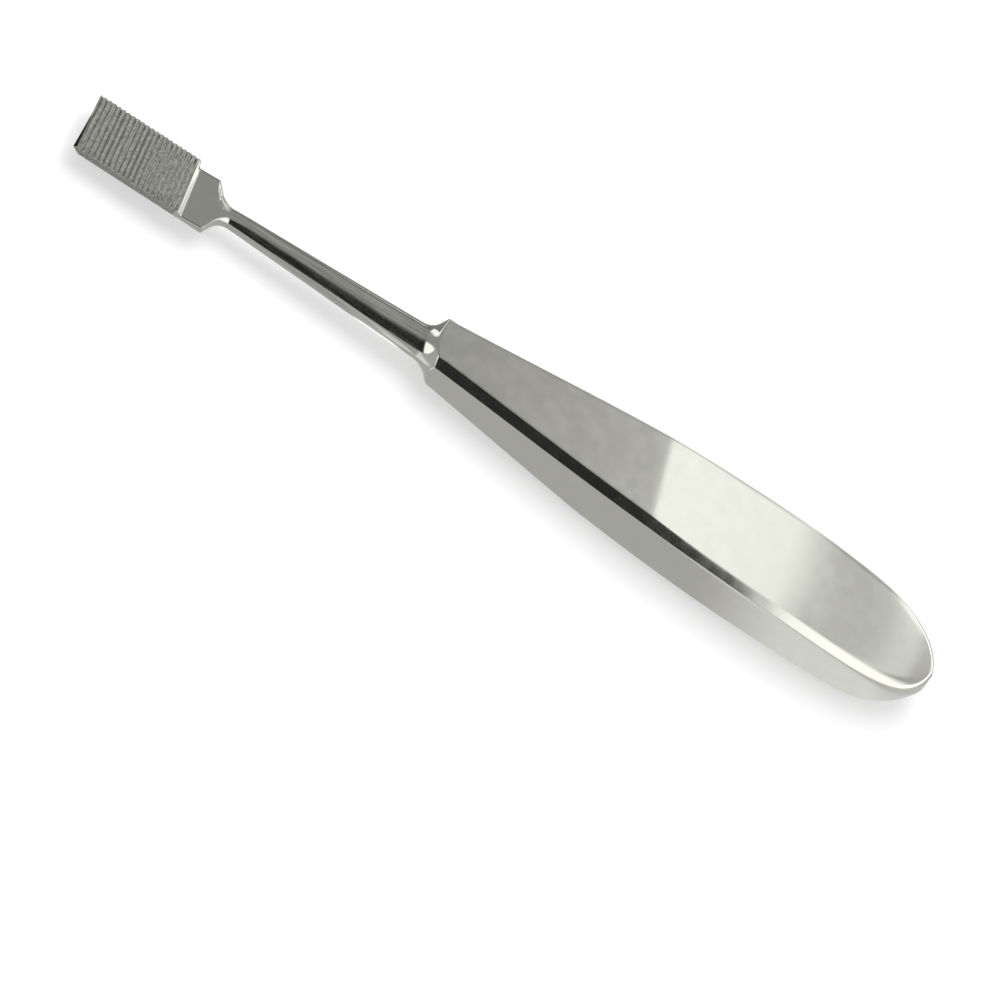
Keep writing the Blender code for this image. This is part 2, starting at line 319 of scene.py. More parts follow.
@dataclass
class SetterBody:
    """The whole tool in one piece, from the grooved pad to the handle's butt.

    Up to split the flat faces are the pad's and the neck's, and behind it they are the handle's. The round shank lies
    inside both there. A pair of places is where something starts to fade or grow and where it has done so.
    """

    pad: GroovedPad = field(default_factory=GroovedPad)
    neck: GroundNeck = field(default_factory=GroundNeck)
    shank: TurnedShank = field(default_factory=TurnedShank)
    handle: PalmHandle = field(default_factory=PalmHandle)
    split: float = 45.0
    fine_edge: float = 0.10
    handle_edge: float = 0.22
    butt_softness: float = 0.35
    butt_softens: tuple[float, float] = (104.0, 119.0)
    crease_rows: tuple[float, float] = (57.0, 70.0)

    @property
    def step_middle(self) -> float:
        """Place of the middle of the step behind the grooves, from where the lathe's surface counts."""
        return self.pad.length + self.pad.step_length / 2

    @property
    def fillet_end(self) -> float:
        """Where the neck's round ends and the plain shank starts."""
        return self.pad.length + self.neck.length

    @property
    def runout_end(self) -> float:
        """Where the ground flats have left the shank."""
        return self.fillet_end + self.neck.runout

    @property
    def flare_start(self) -> float:
        """Where the shoulder's fillet leaves the shank."""
        return self.shank.reach - self.shank.fillet

    @property
    def front_reach(self) -> float:
        """Level distance from the pad's end to the shoulder."""
        drop = math.radians(self.shank.drop)
        return self.shank.reach * math.cos(drop) + self.pad.top * math.sin(drop)

    def shank_radius(self, s: np.ndarray) -> np.ndarray:
        """Radius of the plain cone of the shank."""
        share = (s - self.fillet_end) / (self.flare_start - self.fillet_end)
        return (self.shank.neck_diameter + (self.shank.shoulder_diameter - self.shank.neck_diameter) * share) / 2

    def turned_radius(self, s: np.ndarray) -> np.ndarray:
        """Radius of the lathe's surface: neck, slope and round, cone and quarter round, wide open beyond them.

        A round is its own radius less the root of that squared less the distance from its start squared. The neck's
        goes on as a straight slope, up to the neck's half width.

        Args:
            s: Place along the tool.

        Returns:
            The radius there.
        """
        foot = self.shank_radius(np.array(self.fillet_end))
        slope = math.radians(self.neck.fillet_slope)
        back = np.maximum(self.fillet_end - s, 0.0)
        bent = np.minimum(back, self.neck.fillet * math.sin(slope))
        neck = foot + self.neck.fillet - np.sqrt(self.neck.fillet**2 - bent**2) + (back - bent) * math.tan(slope)
        neck = -meet(-neck, np.full_like(neck, -self.neck.width / 2), self.neck.corner_blend)
        base = self.shank_radius(np.array(self.flare_start))
        on = np.clip(s - self.flare_start, 0.0, self.shank.fillet)
        flare = base + self.shank.fillet - np.sqrt(self.shank.fillet**2 - on**2)
        radius = np.where(s < self.fillet_end, neck, self.shank_radius(s))
        radius = np.where(s > self.flare_start, flare, radius)
        return np.where(s >= self.shank.reach, FAR_AWAY, radius)

    def axis_fall(self, s: np.ndarray) -> np.ndarray:
        """How far the shank's axis lies under its height at the shoulder."""
        return np.maximum(self.shank.reach - s, 0.0) * math.sin(math.radians(self.shank.drop))

    def half_width(self, s: np.ndarray) -> np.ndarray:
        """Half the width between the flat sides."""
        t = np.maximum(s - self.shank.reach, 0.0)
        return np.where(s < self.split, self.pad.width / 2, self.handle.half_width(t))

    @property
    def runout_height(self) -> float:
        """Height at which the ground flats leave the shank, just clear of it."""
        return float(self.shank_radius(np.array(self.runout_end))) + 0.06

    def top(self, s: np.ndarray, y: np.ndarray) -> np.ndarray:
        """Height of the upper face above the axis.

        Up to where the flats leave the shank it is straight from the pad over the step to the neck and on, less the
        grooves. Behind that it is the handle's upper face, whose wedge ends askew, with a slight crown near the butt.

        Args:
            s: Place along the tool.
            y: Place across it.

        Returns:
            The height.
        """
        pad, neck = self.pad, self.neck
        foot = pad.length + pad.step_length
        leave = self.runout_height
        line = np.interp(s, [0.0, pad.length, foot, self.runout_end], [pad.top, pad.top, neck.top, leave])
        line = line - np.where(s < pad.length, pad.grooves(s, y), 0.0)
        handle = self.handle
        t = s - self.shank.reach
        askew = handle.wedge_yaw * y * (1 - smooth_step(*handle.wedge_yaw_fades, t))
        rear = handle.upper(t + askew) + self.axis_fall(s)
        width = np.maximum(handle.half_width(np.maximum(t, 0.0)), 2.0)
        rear = rear - handle.crown * smooth_step(*handle.crown_grows, t) * (y / width) ** 2
        return np.where(s < self.runout_end, line, rear)

    def underside(self, s: np.ndarray) -> np.ndarray:
        """Height of the underside, which is negative where it lies under the axis.

        It is straight from place to place up to where the flats leave the shank, and the handle's behind that.

        Args:
            s: Place along the tool.

        Returns:
            The height.
        """
        pad, neck = self.pad, self.neck
        places = [0.0, pad.bevel_length, pad.length, self.fillet_end - neck.fillet, self.runout_end]
        heights = [pad.top - pad.end_height, pad.underside, pad.underside, neck.underside, -self.runout_height]
        rear = self.axis_fall(s) - self.handle.lower(np.maximum(s - self.shank.reach, 0.0))
        return np.where(s < self.runout_end, np.interp(s, places, heights), rear)

    def chamfer(self, s: np.ndarray, far_top: np.ndarray | bool) -> np.ndarray:
        """Size of the corner chamfers: fine on the pad, wide on the handle, less where the butt gets thin.

        Args:
            s: Place along the tool.
            far_top: Whether it is the far one on top, which is slight and only widens near the butt.

        Returns:
            The chamfer's size.
        """
        handle = self.handle
        t = np.maximum(s - self.shank.reach, 0.0)
        depth = handle.upper(t) + handle.lower(t)
        room = np.minimum(handle.half_width(t) * 0.9, depth * 0.35)
        growth = smooth_step(*handle.far_chamfer_doubles, t) + 2 * smooth_step(*handle.far_chamfer_redoubles, t)
        size = np.where(far_top, handle.far_chamfer * (1 + growth), handle.chamfer)
        return np.where(s < self.split, self.pad.corner_chamfer, np.minimum(size, room))

    def low_chamfer(self, s: np.ndarray) -> np.ndarray:
        """Size of the underside's corner chamfers, which the butt's rounding leaves half as wide."""
        t = s - self.shank.reach
        return self.chamfer(s, False) * (1 - 0.5 * smooth_step(*self.handle.low_chamfer_halves, t))

    def lathe_distance(self, s: np.ndarray, y: np.ndarray, z: np.ndarray) -> np.ndarray:
        """Signed distance to the lathe's surface: distance from the axis less the radius, over the slope's length.

        The radius is read at a place that shifts with y and z on the neck and at the shoulder, so the neck's round and
        the shoulder's crease run askew. The slope's length is the root of 1 plus the slope squared.

        Args:
            s: Place along the tool.
            y: Place across it.
            z: Height above the axis.

        Returns:
            The distance, negative inside.
        """
        neck, shank = self.neck, self.shank
        place = s + (shank.shear_across * y + shank.shear_up * z) * smooth_step(*shank.shear_grows, s)
        tilted = neck.shear_across * y + neck.shear_up * (z - neck.top)
        place = place + tilted * (1 - smooth_step(*neck.shear_fades, s))
        rise = self.turned_radius(place + SLOPE_STEP) - self.turned_radius(place - SLOPE_STEP)
        slope = np.clip(rise / (2 * SLOPE_STEP), -3.0, 3.0)
        moved = y - neck.sideways * (1 - smooth_step(*neck.sideways_fades, s))
        outside = (np.hypot(moved, z) - self.turned_radius(place)) / np.sqrt(1 + slope**2)
        return np.where(s < self.step_middle, -FAR_AWAY, outside)

    def distance(self, s: np.ndarray, y: np.ndarray, z: np.ndarray, turned: bool = True) -> np.ndarray:
        """Signed distance to the tool's surface, the largest of the distances to its bounds with blended edges.

        The bounds are the sides, the upper face, the underside, the chamfers between them, the lathe's surface and the
        pad's end. The lathe's surface joins the sides on the neck, and all the others behind it.

        Args:
            s: Place along the tool.
            y: Place across it.
            z: Height above the axis.
            turned: Whether the lathe's surface is one of the bounds.

        Returns:
            The distance, negative inside.
        """
        pad, neck = self.pad, self.neck
        front = s < self.split
        width = self.half_width(s)
        slope = (self.half_width(s + SLOPE_STEP) - self.half_width(s - SLOPE_STEP)) / (2 * SLOPE_STEP)
        slope = np.where(np.abs(s - self.split) < 1.0, 0.0, slope)
        past_pad = smooth_step(pad.length, pad.length + 1.0, s)
        side = (np.abs(y - pad.sideways * (1 - past_pad)) - width) / np.sqrt(1 + slope**2)
        over = z - self.top(s, y)
        under = self.underside(s) - z
        on_neck = past_pad * (1 - smooth_step(*neck.far_roll_fades, s))
        upper_edge = np.where(front, self.fine_edge + neck.far_roll * on_neck * (y > 0), self.handle_edge)
        plain_edge = np.where(front, self.fine_edge, self.handle_edge)
        soft_edge = self.handle_edge + self.butt_softness * smooth_step(*self.butt_softens, s)
        if turned:
            lathe = self.lathe_distance(s, y, z)
            side = np.where(front, meet(side, lathe, np.where(y > 0, neck.far_blend, neck.near_blend)), side)
        body = meet(over, side, upper_edge)
        body = meet(body, meet(under, side, plain_edge), plain_edge * 0.5)
        high_chamfer = (side + over + self.chamfer(s, y > 0)) / math.sqrt(2)
        body = meet(body, high_chamfer, np.where(front, self.fine_edge, soft_edge))
        body = meet(body, (side + under + self.low_chamfer(s)) / math.sqrt(2), plain_edge)
        if turned:
            body = np.where(front, body, meet(body, lathe, self.handle_edge))
        return meet(body, -s, self.fine_edge)

    def handle_corners(self, s: np.ndarray) -> np.ndarray:
        """Distances of the handle's eight corners, where its faces would meet its chamfers.

        Args:
            s: Places along the tool.

        Returns:
            Distance across and distance up or down of each corner in turn, a row each.
        """
        t = np.maximum(s - self.shank.reach, 0.0)
        wide, high, deep = self.handle.half_width(t), self.handle.upper(t), self.handle.lower(t)
        low_cut = np.minimum(self.handle.chamfer, 0.45 * wide)
        far_cut = np.minimum(self.chamfer(np.maximum(s, self.split), True), 0.45 * wide)
        upper = [wide, deep - low_cut, wide, high - far_cut, wide - far_cut, high, wide - low_cut, high]
        lower = [wide, high - low_cut, wide, deep - low_cut, wide - low_cut, deep, wide - low_cut, deep]
        return np.stack([*upper, *lower])

    def front_corners(self, s: np.ndarray) -> np.ndarray:
        """Distances of the pad's and the neck's corners, where the flats leave the sides or the lathe's surface.

        Args:
            s: Places along the tool.

        Returns:
            Distance across and distance up or down of each corner in turn, a row each.
        """
        pad = self.pad
        on_pad = s < pad.length
        radius = np.where(s < self.step_middle, FAR_AWAY, self.turned_radius(s))
        limit = np.minimum(pad.width / 2, radius)
        upper = np.maximum(self.top(s, np.zeros_like(s)) + np.where(on_pad, pad.groove_depth * 0.5, 0), 0.1)
        upper = np.where(on_pad, pad.top, np.minimum(upper, 1.3))
        under = np.clip(-self.underside(s), -1.0, 1.2)
        edge = 0.06
        wide_top = np.sqrt(np.maximum(limit**2 - np.where(radius < 10, upper, 0) ** 2, 0.4))
        wide_low = np.sqrt(np.maximum(limit**2 - np.where(radius < 10, under, 0) ** 2, 0.4))
        top = [wide_low, under - edge, wide_top, upper - edge, wide_top - edge, upper, wide_top - edge, upper]
        low = [wide_top, upper - edge, wide_low, under - edge, wide_low - edge, under, wide_low - edge, under]
        return np.stack([*top, *low])

    def corners(self, s: np.ndarray) -> np.ndarray:
        """The section's eight corners at each station, where the grid's columns gather.

        Args:
            s: Places along the tool.

        Returns:
            Their angles round the section's middle, in the order of Corner.
        """
        centre = self.middle(s)
        sides = np.array([corner.side for corner in Corner])[:, None]
        heights = np.array([corner.height for corner in Corner])[:, None]

        def angles(rows: np.ndarray) -> np.ndarray:
            """Angles of the corners whose distances across and up or down are given in turn."""
            found = np.arctan2(rows[1::2] * heights - centre, rows[0::2] * sides)
            return np.concatenate([found[:1], np.mod(found[1:], 2 * math.pi)])

        share = smooth_step(24.0, 29.0, s)
        return (1 - share) * angles(self.front_corners(s)) + share * angles(self.handle_corners(s))

    def middle(self, s: np.ndarray) -> np.ndarray:
        """Height of the point that the rays of a section leave from, straight from place to place in front of split.

        Args:
            s: Place along the tool.

        Returns:
            The height.
        """
        pad = self.pad
        places = [0.0, pad.bevel_length, pad.length, 20.0, 26.0, 32.0]
        front = np.interp(s, places, [pad.top - pad.end_height / 2, 0.55, 0.55, 0.12, 0.1, 0.0])
        t = np.maximum(s - self.shank.reach, 0.0)
        rear = (self.handle.upper(t) - self.handle.lower(t)) / 2
        return np.where(s < self.split, front, rear)

    def stations(self) -> tuple[np.ndarray, int, int]:
        """Places of the sections, with the numbers of the first and last one of the flare.

        Returns:
            The places, and the two numbers between which the grid bends to follow the shoulder's edge.
        """
        pad, handle, reach = self.pad, self.handle, self.shank.reach
        step = self.step_middle
        ramp = np.array([pad.length, pad.length + 0.05, step - 0.15, step - 0.002, step + 0.002, step + 0.15])
        foot = pad.length + pad.step_length
        neck = np.concatenate([[foot - 0.05, foot, foot + 0.05], np.linspace(foot + 0.2, self.fillet_end, 70)])
        flats = np.linspace(self.fillet_end, self.runout_end, 40)[1:]
        bend_start, bend_end = self.crease_rows
        stem = np.linspace(self.runout_end + 0.3, bend_start, 60)
        flare = np.linspace(bend_start, bend_end, 77)[1:-1]
        kinks = np.array([reach + handle.lower_wedge, reach + handle.upper_wedge])
        widest = reach + handle.length - handle.widest_to_butt
        long = np.linspace(bend_end, widest, 90)
        long = np.sort(np.concatenate([long, *(kinks[:, None] + np.array([[-1.2, -0.6, -0.3, 0.3, 0.6, 1.2]]))]))
        butt = widest + handle.widest_to_butt * np.sin(np.linspace(0.0, math.pi / 2, 130))[1:]
        front = np.concatenate([pad.stations(), ramp, neck, flats, stem])
        return np.concatenate([front, flare, long, butt]), len(front), len(front) + len(flare)

    def directions(self, s: np.ndarray) -> np.ndarray:
        """Angles of the grid's columns at each station, between the section's corners and closer near them.

        The shares from corner to corner are those of a half circle seen from the side. They are spread along the chord
        between the corners, or by angle where the two corners are too far apart for a chord.

        Args:
            s: Places along the tool.

        Returns:
            One row for each station.
        """
        ends = self.corners(s)
        columns = []
        starts = np.concatenate([ends, ends[:1] + 2 * math.pi])
        widest = 1.5
        for number, corner in enumerate(Corner):
            share = 0.5 - 0.5 * np.cos(math.pi * np.arange(corner.columns) / corner.columns)
            off_middle = 2 * share[None, :] - 1
            half = (starts[number + 1] - starts[number])[:, None] / 2
            chord = np.arctan(off_middle * np.tan(np.minimum(half, widest)))
            columns.append(starts[number][:, None] + half + np.where(half < widest, chord, half * off_middle))
        return np.concatenate(columns, 1)

    def surface(self) -> np.ndarray:
        """The grid's points. Each lies where a ray from its section's middle leaves the tool, found by halving.

        Near the shoulder the rows bend so that one follows the crease. It lies where the fillet is as wide as a ray to
        the handle's edge is long, moved back by the shear.

        Returns:
            Points in metres, stations by columns by three.
        """
        base, first, last = self.stations()
        turn = self.directions(base)
        across, up = np.cos(turn), np.sin(turn)
        s = np.repeat(base[:, None], turn.shape[1], 1)
        shoulder = np.full(turn.shape[1], self.shank.reach)
        at = np.searchsorted(base, self.shank.reach)
        edge = self.reach_along(shoulder, across[at], up[at], np.zeros_like(shoulder), turned=False)
        rise = np.minimum(edge - float(self.shank_radius(np.array(self.flare_start))), self.shank.fillet * 0.999)
        crease = self.flare_start + np.sqrt(self.shank.fillet**2 - (self.shank.fillet - rise) ** 2)
        crease -= edge * (self.shank.shear_across * across[at] + self.shank.shear_up * up[at])
        low, high = base[first - 1], base[last]
        share = np.linspace(-1.0, 1.0, last - first + 2)[1:-1, None]
        eased = np.sign(share) * np.abs(share) ** 1.5
        before = crease[None, :] + (crease[None, :] - low) * eased
        after = crease[None, :] + (high - crease[None, :]) * eased
        s[first:last] = np.where(share < 0, before, after)
        centre = self.middle(s)
        radius = self.reach_along(s, across, up, centre)
        return self.placed(s, radius * across, centre + radius * up)

    def reach_along(
        self, s: np.ndarray, across: np.ndarray, up: np.ndarray, centre: np.ndarray, turned: bool = True
    ) -> np.ndarray:
        """Length of each ray from the section's middle to the surface, by halving an interval.

        Args:
            s: Place along the tool.
            across: Ray's share across.
            up: Ray's share upwards.
            centre: Height of the middle.
            turned: Whether the lathe's surface is one of the bounds.

        Returns:
            The lengths.
        """
        low, high = np.zeros_like(s), np.full_like(s, 13.0)
        for _ in range(HALVINGS):
            half = (low + high) / 2
            inside = self.distance(s, half * across, centre + half * up, turned) < 0
            low, high = np.where(inside, half, low), np.where(inside, high, half)
        return (low + high) / 2

    def outwards(self, s: np.ndarray, y: np.ndarray, z: np.ndarray) -> np.ndarray:
        """How far the pad's end and its step are moved towards the end, from hand grinding.

        It is the skew times the share of nearness on the near side at the end and of farness at the step, plus the jut
        times the shares of nearness and of depth below the top at the very end.

        Args:
            s: Place along the tool.
            y: Place across it.
            z: Height above the axis.

        Returns:
            The distance.
        """
        pad = self.pad
        near = np.clip(0.5 - y / pad.width, 0.0, 1.0)
        below = np.clip((pad.top - z) / pad.end_height, 0.0, 1.0)
        jut_far, jut_near = pad.jut_side
        nearer = np.clip((jut_far - y) / (jut_far - jut_near), 0.0, 1.0)
        at_step = smooth_step(*pad.step_skew_grows, s) * (1 - smooth_step(*pad.step_skew_fades, s))
        skew = near * (1 - smooth_step(*pad.skew_fades, s)) + (1 - near) * at_step
        return pad.end_skew * skew + pad.end_jut * nearer * below * (1 - smooth_step(*pad.jut_fades, s))

    def placed(self, s: np.ndarray, y: np.ndarray, z: np.ndarray) -> np.ndarray:
        """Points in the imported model's frame: the shank leans down to the pad, and the handle is level.

        Before the shoulder, s goes along the leaning axis, and z is square to it up to where the lean fades out.

        Args:
            s: Place along the tool.
            y: Place across it.
            z: Height above the axis.

        Returns:
            Points in metres.
        """
        shoulder = (self.front_reach - self.handle.length) / 2
        before = np.minimum(s - self.shank.reach, 0.0)
        after = np.maximum(s - self.shank.reach, 0.0)
        drop = math.radians(self.shank.drop)
        lean = drop * (1 - smooth_step(*self.shank.bend_fades, s))
        x = shoulder + before * math.cos(drop) + after - z * np.sin(lean) - self.outwards(s, y, z)
        height = self.shank.height + before * math.sin(drop) + z * np.cos(lean)
        return np.stack([x, y, height], -1) * MM

    def build(self) -> bpy.types.Object:
        """Makes the tool's mesh from the grid, closed at both ends, with a mark on the faces of the pad's end.

        The grid's first row lies all in one point, so the end is its first two rows of faces.

        Returns:
            The tool's object.
        """
        points = self.surface()
        rows, columns = points.shape[:2]
        across = np.arange(columns)
        after = (across + 1) % columns
        down = np.arange(rows - 1)[:, None] * columns
        quads = np.stack([down + across, down + after, down + columns + after, down + columns + across], -1)
        verts = points.reshape(-1, 3)
        ends = np.stack([points[0].mean(0), points[-1].mean(0)])
        front = np.stack([np.full(columns, len(verts)), after, across], -1)
        base = (rows - 1) * columns
        back = np.stack([np.full(columns, len(verts) + 1), base + across, base + after], -1)
        mesh = bpy.data.meshes.new("setter_surface")
        faces = quads.reshape(-1, 4).tolist() + front.tolist() + back.tolist()
        mesh.from_pydata(np.concatenate([verts, ends]).tolist(), [], faces)
        mesh.update()
        mesh.shade_smooth()
        # The mark picks the faces of the pad's end, whose near half the steel colours with painted shade.
        end = mesh.attributes.new("end_face", "FLOAT", "FACE")
        marks = np.zeros(len(faces), np.float32)
        marks[: 2 * columns] = 1.0
        end.data.foreach_set("value", marks)
        tool = bpy.data.objects.new("setter_surface", mesh)
        bpy.context.scene.collection.objects.link(tool)
        return tool

    def dress(self, tool: bpy.types.Object) -> None:
        """Gives the tool its steel."""
        Steel().dress(tool)


class Nodes:
    """Short ways to add nodes to a tree."""

    def __init__(self, tree: bpy.types.NodeTree) -> None:
        """Keeps the tree that the nodes go into."""
        self.tree = tree

    def link(self, socket: Socket, value: Socket | float | tuple) -> None:
        """Gives an input either a link or a plain value.

        Args:
            socket: The input.
            value: What it gets.
        """
        if isinstance(value, Socket):
            self.tree.links.new(value, socket)
        else:
            socket.default_value = value

    def maths(self, kind: str, first: Socket | float, second: Socket | float = 0.0) -> Socket:
        """One step of arithmetic on two values.

        Args:
            kind: The step, such as ADD or MULTIPLY.
            first: One value.
            second: The other.

        Returns:
            The outcome.
        """
        node = self.tree.nodes.new("ShaderNodeMath")
        node.operation = kind
        self.link(node.inputs[0], first)
        self.link(node.inputs[1], second)
        return node.outputs[0]

    def ramp(self, source: Socket, low: float, high: float, start: Socket | float, end: Socket | float) -> Socket:
        """A smooth change from start to end as the source goes from low to high.

        Args:
            source: What drives the change.
            low: Where it starts.
            high: Where it ends.
            start: Value up to low.
            end: Value from high on.

        Returns:
            The value.
        """
        node = self.tree.nodes.new("ShaderNodeMapRange")
        node.interpolation_type = "SMOOTHSTEP"
        node.inputs["From Min"].default_value = low
        node.inputs["From Max"].default_value = high
        self.link(node.inputs["To Min"], start)
        self.link(node.inputs["To Max"], end)
        self.link(node.inputs["Value"], source)
        return node.outputs["Result"]

    def axes(self, source: Socket) -> list[Socket]:
        """The three parts of a vector.

        Args:
            source: The vector.

        Returns:
            Its parts along X, Y and Z.
        """
        node = self.tree.nodes.new("ShaderNodeSeparateXYZ")
        self.link(node.inputs["Vector"], source)
        return list(node.outputs)

    def place(self, name: str = "Object") -> Socket:
        """The coordinates of the shaded point."""
        return self.tree.nodes.new("ShaderNodeTexCoord").outputs[name]

    def mark(self, name: str) -> Socket:
        """A number that the mesh holds for each of its faces.

        Args:
            name: The name of the mesh's attribute.

        Returns:
            The number.
        """
        node = self.tree.nodes.new("ShaderNodeAttribute")
        node.attribute_name = name
        return node.outputs["Fac"]

    def noise(self, scale: tuple[float, float, float], detail: float, seed: float = 0.0) -> Socket:
        """Noise on the piece's own coordinates, with so many grains for each metre along each axis.

        Args:
            scale: Grains for each metre along X, Y and Z.
            detail: How many finer layers it has.
            seed: Shift that makes it another pattern.

        Returns:
            The noise, about 0.5 on average.
        """
        mapping = self.tree.nodes.new("ShaderNodeMapping")
        mapping.inputs["Scale"].default_value = scale
        mapping.inputs["Location"].default_value = (seed, seed * 1.7, seed * 0.6)
        self.link(mapping.inputs["Vector"], self.place())
        node = self.tree.nodes.new("ShaderNodeTexNoise")
        node.inputs["Scale"].default_value = 1.0
        node.inputs["Detail"].default_value = detail
        self.link(node.inputs["Vector"], mapping.outputs["Vector"])
        return node.outputs["Fac"]

    def blend(self, kind: str, share: Socket | float, first: Socket | tuple, second: Socket | tuple | float) -> Socket:
        """A mix of two colours.

        Args:
            kind: How they mix, such as MIX or MULTIPLY.
            share: How much of the second there is.
            first: One colour.
            second: The other.

        Returns:
            The colour.
        """
        node = self.tree.nodes.new("ShaderNodeMix")
        node.data_type = "RGBA"
        node.blend_type = kind
        self.link(node.inputs["Factor"], share)
        self.link(node.inputs["A"], first)
        self.link(node.inputs["B"], second)
        return node.outputs["Result"]

    def bump(self, height: Socket, depth: float, normal: Socket | None = None) -> Socket:
        """Relief of a given depth, on top of another relief if one is given.

        Args:
            height: How high the relief is, from 0 to 1.
            depth: How high 1 is, in metres.
            normal: The other relief.

        Returns:
            The relief.
        """
        node = self.tree.nodes.new("ShaderNodeBump")
        node.inputs["Strength"].default_value = 1.0
        node.inputs["Distance"].default_value = depth
        self.link(node.inputs["Height"], height)
        if normal is not None:
            self.link(node.inputs["Normal"], normal)
        return node.outputs["Normal"]


@dataclass(frozen=True)
class Steel:
    """Polished steel with fine lines along the tool and hand-polished waves, and a matter filed pad with painted shade
    on its end.

    Places are in metres along X, and along Y for the painted shade on the pad's end. Grains are for each metre along X,
    Y and
    Z, and reliefs are in metres.
    """

    colour: tuple[float, float, float] = (0.60, 0.603, 0.545)
    pad_colour: tuple[float, float, float] = (0.40, 0.405, 0.365)
    handle_roughness: float = 0.13
    pad_roughness: float = 0.36
    pad_end: tuple[float, float] = (-0.0624, -0.0618)
    shank_start: tuple[float, float] = (-0.054, -0.050)
    shank_end: tuple[float, float] = (-0.022, -0.017)
    painted_shade_side: tuple[float, float] = (0.0006, 0.0016)
    # Colour of the painted shade on the near half of the pad's end, almost black.
    painted_shade_end: float = 0.06
    line_grains: tuple[float, float, float] = (90.0, 2600.0, 2600.0)
    line_relief: float = 0.000004
    streak_grains: tuple[float, float, float] = (45.0, 1500.0, 1500.0)
    streak_relief: float = 0.000014
    streak_shade: float = 0.76
    scuff_grains: tuple[float, float, float] = (2600.0, 2200.0, 2200.0)
    mottle_grains: tuple[float, float, float] = (420.0, 420.0, 420.0)
    wave_grains: tuple[float, float, float] = (70.0, 150.0, 150.0)
    wave_relief: float = 0.000012

    def dress(self, piece: bpy.types.Object) -> None:
        """Gives the piece its steel.

        Args:
            piece: The object to dress.
        """
        material = bpy.data.materials.new("setter_steel")
        material.use_nodes = True
        nodes = Nodes(material.node_tree)
        shader = material.node_tree.nodes["Principled BSDF"]
        shader.inputs["Metallic"].default_value = 1.0
        x, y, _ = nodes.axes(nodes.place())
        on_pad = nodes.ramp(x, *self.pad_end, 1.0, 0.0)
        on_shank = nodes.ramp(x, *self.shank_start, 0.0, nodes.ramp(x, *self.shank_end, 1.0, 0.0))
        # Painted shade: the near half of the pad's end face is coloured almost black.
        on_painted_shade = nodes.maths("MULTIPLY", nodes.mark("end_face"), nodes.ramp(y, *self.painted_shade_side, 1.0, 0.0))
        lines = nodes.noise(self.line_grains, 3.0)
        streaks = nodes.noise(self.streak_grains, 2.0, 3.0)
        mottle = nodes.noise(self.mottle_grains, 3.0, 5.0)
        waves = nodes.noise(self.wave_grains, 1.5, 9.0)
        self.colour_it(nodes, shader, (on_pad, on_shank, on_painted_shade), mottle, streaks)

        rough = nodes.ramp(on_pad, 0.0, 1.0, self.handle_roughness, self.pad_roughness)
        rough = nodes.maths("ADD", rough, nodes.ramp(mottle, 0.25, 0.75, -0.02, 0.02))
        ground = nodes.ramp(streaks, 0.3, 0.7, -0.02, 0.04)
        rough = nodes.maths("ADD", rough, nodes.ramp(on_shank, 0.0, 1.0, 0.0, ground))
        nodes.link(shader.inputs["Roughness"], rough)
        relief = nodes.bump(lines, self.line_relief)
        relief = nodes.bump(nodes.maths("MULTIPLY", streaks, on_shank), self.streak_relief, relief)
        relief = nodes.bump(waves, self.wave_relief, relief)
        nodes.link(shader.inputs["Normal"], relief)
        piece.data.materials.append(material)

    def colour_it(
        self,
        nodes: Nodes,
        shader: bpy.types.ShaderNode,
        where: tuple[Socket, Socket, Socket],
        mottle: Socket,
        streaks: Socket,
    ) -> None:
        """Colours the steel, mottled all over, scuffed on the pad, streaked on the shank, with painted shade on the
        pad's end.

        Args:
            nodes: The material's nodes.
            shader: Its shader.
            where: How much a point is on the pad, on the shank and on the painted shade of the pad's end.
            mottle: Noise of the mottling.
            streaks: Noise of the streaks.
        """
        on_pad, on_shank, on_painted_shade = where
        scuffs = nodes.noise(self.scuff_grains, 2.0, 12.0)
        grain = nodes.ramp(mottle, 0.3, 0.7, 0.985, 1.015)
        filed = nodes.maths("MULTIPLY", grain, nodes.ramp(scuffs, 0.25, 0.75, 0.68, 1.22))
        grain = nodes.ramp(on_pad, 0.0, 1.0, grain, filed)
        worn = nodes.ramp(streaks, 0.3, 0.7, nodes.ramp(on_shank, 0.0, 1.0, 1.0, self.streak_shade), 1.0)
        # Painted shade: the near half of the pad's end face is coloured almost black.
        grain = nodes.ramp(on_painted_shade, 0.0, 1.0, nodes.maths("MULTIPLY", grain, worn), self.painted_shade_end)
        tint = nodes.blend("MIX", on_pad, (*self.colour, 1.0), (*self.pad_colour, 1.0))
        nodes.link(shader.inputs["Base Color"], nodes.blend("MULTIPLY", 1.0, tint, grain))


